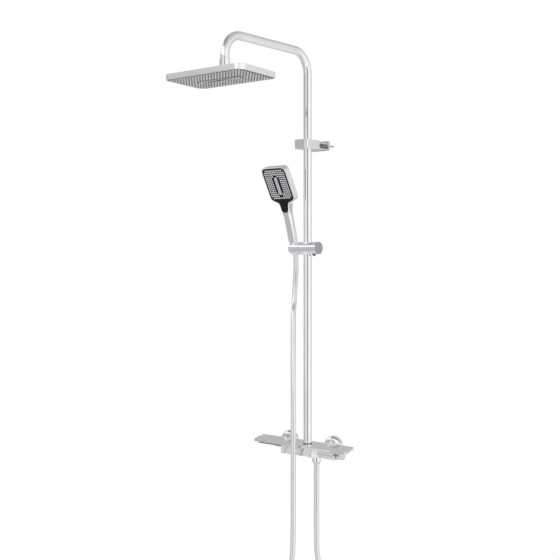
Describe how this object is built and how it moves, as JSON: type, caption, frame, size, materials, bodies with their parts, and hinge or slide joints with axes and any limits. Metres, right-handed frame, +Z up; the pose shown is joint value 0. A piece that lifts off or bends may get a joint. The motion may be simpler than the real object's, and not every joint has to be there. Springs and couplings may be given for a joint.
{
  "type": "rainfall shower column",
  "caption": "Wall-mounted shower column: thermostatic shelf mixer, riser, wall bracket, swivelling arm with a flat rectangular rain head, sliding cradle, handset and hose.",
  "frame": {"origin": "on the wall plane, midway between the two wall unions of the mixer", "axes": "+X right along the mixer, +Y into the wall, +Z up along the riser"},
  "size_m": [0.3314, 0.5016, 1.5392],
  "materials": {
    "chrome": "polished chrome plating",
    "shelf_metal": "polished plate, slightly darker",
    "grey_plastic": "satin",
    "button_plastic": "plated plastic, glossy",
    "white_plastic": "smooth moulded",
    "black_plastic": "piano black",
    "nozzle_rubber": "soft silicone",
    "seal_rubber": "matte",
    "brass": "machined",
    "steel": "brushed",
    "hose_skin": "smooth silver hose"
  },
  "bodies": {
    "column": {"left_union": "brass", "right_union": "brass", "left_rosette": "chrome", "right_rosette": "chrome", "left_union_nut": "chrome", "right_union_nut": "chrome", "union_seals": "seal_rubber", "check_valves": "white_plastic", "valve_body": "chrome", "left_end_cap": "chrome", "shelf_plate": "shelf_metal", "shelf_rail": "grey_plastic", "front_fascia": "button_plastic", "button_springs": "steel", "shutoff_cartridges": "white_plastic", "thermostat_cartridge": "white_plastic", "hose_outlet": "chrome", "riser_seal": "seal_rubber", "riser_collar": "black_plastic", "lower_riser": "chrome", "joiner_sleeve": "brass", "joiner_seals": "seal_rubber", "bracket_clamp": "chrome", "bracket_grub_screw": "steel", "bracket_neck": "chrome", "bracket_wall_plate": "shelf_metal", "bracket_screws": "steel", "hose_valve_nut": "chrome", "valve_washer": "seal_rubber", "hose": "hose_skin"},
    "arm": {"shower_arm": "chrome", "head_nut": "chrome", "head_washer": "seal_rubber", "swivel_ball": "brass"},
    "swivel_ring": {"ball_seat": "white_plastic"},
    "rain_head": {"head_housing": "chrome", "head_face": "grey_plastic", "head_nozzles": "nozzle_rubber", "waterfall_outlet": "chrome"},
    "slider": {"slider_body": "chrome", "slider_bush": "white_plastic", "slider_end_cap": "chrome", "lock_spring": "steel", "cradle_pivot": "steel"},
    "lock_key": {"lock_button": "grey_plastic"},
    "cradle_part": {"cradle": "chrome"},
    "handset": {"handset_shell": "chrome", "handset_face": "black_plastic", "handset_nozzles": "nozzle_rubber", "jet_bar": "chrome", "handset_pipe": "white_plastic", "handset_connector": "chrome", "hose_cone_nut": "chrome", "handset_washer": "seal_rubber"},
    "handset_key": {"handset_button": "black_plastic"},
    "knob": {"thermostat_knob": "chrome", "knob_cap": "shelf_metal"},
    "left_key": {"left_button": "button_plastic"},
    "middle_key": {"middle_button": "button_plastic"},
    "right_key": {"right_button": "button_plastic"}
  },
  "joints": [
    {"name": "arm_swivel", "type": "hinge", "parent": "column", "child": "arm", "pos_m": [0.03, -0.06, 0.815], "axis": [0, 0, 1], "range_deg": [-40, 40]},
    {"name": "head_tilt_fore_aft", "type": "hinge", "parent": "arm", "child": "swivel_ring", "pos_m": [0.03, -0.39, 0.962], "axis": [1, 0, 0], "range_deg": [-12, 12]},
    {"name": "head_tilt_side", "type": "hinge", "parent": "swivel_ring", "child": "rain_head", "pos_m": [0.03, -0.39, 0.962], "axis": [0, 1, 0], "range_deg": [-12, 12]},
    {"name": "slider_slide", "type": "slide", "parent": "column", "child": "slider", "axis": [0, 0, 1], "range_m": [-0.38, 0.045], "deforming": ["hose"]},
    {"name": "lock_button_press", "type": "slide", "parent": "slider", "child": "lock_key", "axis": [0, 0, 1], "range_m": [0, 0.003], "stiffness_N_per_m": 800, "springref_m": -0.001},
    {"name": "cradle_tilt", "type": "hinge", "parent": "slider", "child": "cradle_part", "pos_m": [0.03, -0.06, 0.538], "axis": [1, 0, 0], "range_deg": [-6, 20], "deforming": ["hose"]},
    {"name": "handset_lift", "type": "slide", "parent": "cradle_part", "child": "handset", "axis": [0, -0.2924, 0.9563], "range_m": [0, 0.05], "deforming": ["hose"]},
    {"name": "handset_button_press", "type": "slide", "parent": "handset", "child": "handset_key", "axis": [0, 0.8746, 0.4848], "range_m": [0, 0.0015], "stiffness_N_per_m": 800, "springref_m": -0.001},
    {"name": "knob_turn", "type": "hinge", "parent": "column", "child": "knob", "pos_m": [0.131, -0.06, -0.004], "axis": [1, 0, 0], "range_deg": [-120, 120]},
    {"name": "left_button_press", "type": "slide", "parent": "column", "child": "left_key", "axis": [0, 1, 0], "range_m": [0, 0.003], "stiffness_N_per_m": 800, "springref_m": -0.001},
    {"name": "middle_button_press", "type": "slide", "parent": "column", "child": "middle_key", "axis": [0, 1, 0], "range_m": [0, 0.003], "stiffness_N_per_m": 800, "springref_m": -0.001},
    {"name": "right_button_press", "type": "slide", "parent": "column", "child": "right_key", "axis": [0, 1, 0], "range_m": [0, 0.003], "stiffness_N_per_m": 800, "springref_m": -0.001}
  ]
}
